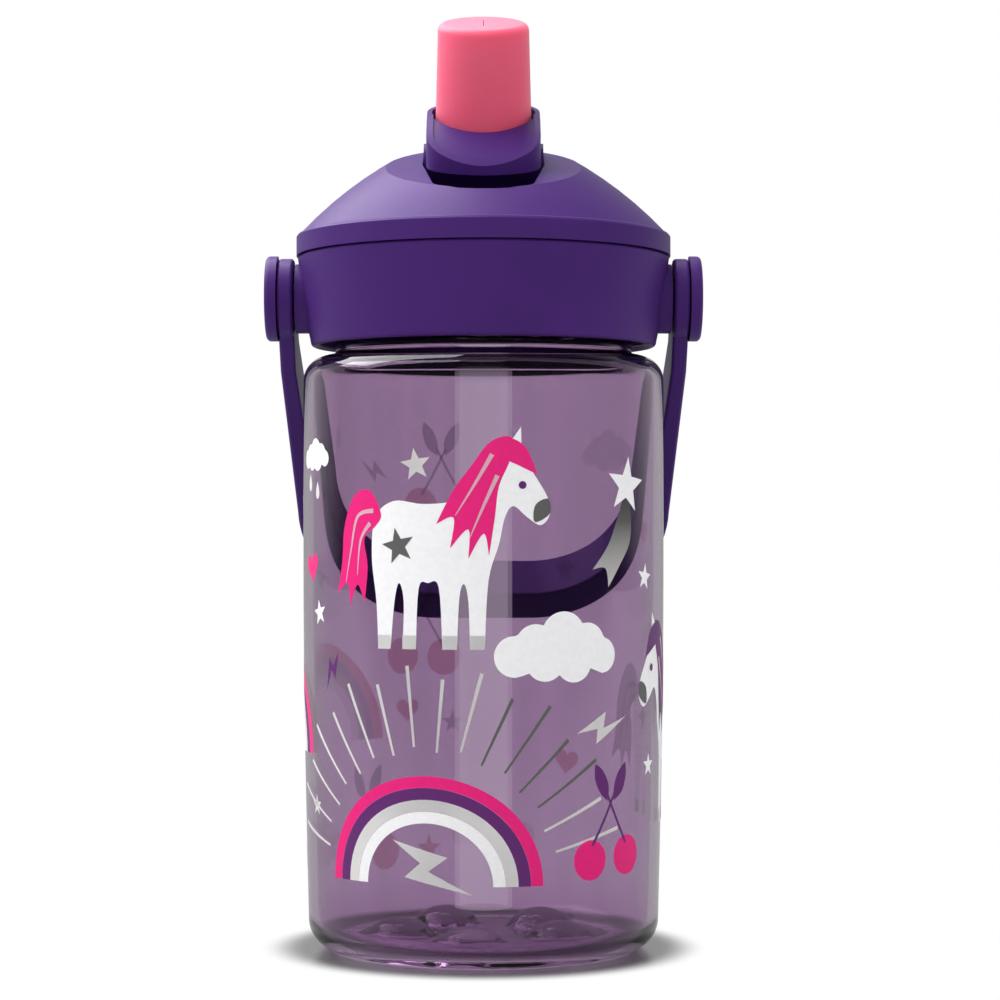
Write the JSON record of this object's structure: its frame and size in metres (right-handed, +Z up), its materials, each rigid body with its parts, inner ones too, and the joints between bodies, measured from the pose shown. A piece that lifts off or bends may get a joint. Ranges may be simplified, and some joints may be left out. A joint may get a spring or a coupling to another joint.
{
  "type": "kids water bottle",
  "caption": "Clear screw-neck children's drinking bottle with a domed lid, a flip-up spout on a straw, and a carry handle that swings.",
  "frame": {"origin": "on the bottle's axis, in the plane that the base stands on", "axes": "+Z up along the bottle's axis; -Y is the side that the open spout leans to; the handle's pivots are on X"},
  "size_m": [0.0878, 0.0914, 0.1877],
  "materials": {
    "clear_body": "clear tinted, glossy",
    "lid_plastic": "satin moulded",
    "mouthpiece_silicone": "soft matte",
    "seal_silicone": "soft matte",
    "straw_plastic": "translucent"
  },
  "bodies": {
    "bottle": {"bottle_body": "clear_body"},
    "gasket_ring": {"neck_gasket": "seal_silicone"},
    "lid": {"lid_collar": "lid_plastic", "lid_deck": "lid_plastic", "lid_dome": "lid_plastic", "vent_valve": "seal_silicone", "port_seal": "seal_silicone", "straw_coupler": "straw_plastic", "straw": "straw_plastic", "handle_pivot_left": "lid_plastic", "handle_pivot_right": "lid_plastic"},
    "spout": {"spout_carrier": "lid_plastic", "mouthpiece": "mouthpiece_silicone"},
    "carry_handle": {"handle": "lid_plastic"}
  },
  "joints": [
    {"name": "lid_lift", "type": "slide", "parent": "bottle", "child": "gasket_ring", "axis": [0, 0, 1], "range_m": [0, 0.006]},
    {"name": "lid_turn", "type": "hinge", "parent": "gasket_ring", "child": "lid", "pos_m": [0, 0, 0.1272], "axis": [0, 0, 1], "range_deg": [0, 540]},
    {"name": "spout_flip", "type": "hinge", "parent": "lid", "child": "spout", "pos_m": [0, 0, 0.157], "axis": [-1, 0, 0], "range_deg": [0, 112]},
    {"name": "handle_swing", "type": "hinge", "parent": "lid", "child": "carry_handle", "pos_m": [0, 0, 0.131], "axis": [1, 0, 0], "range_deg": [0, 284]}
  ],
  "couplings": [
    {"joint": "lid_lift", "follows": "lid_turn", "m_per_rad": 0.00063661}
  ]
}
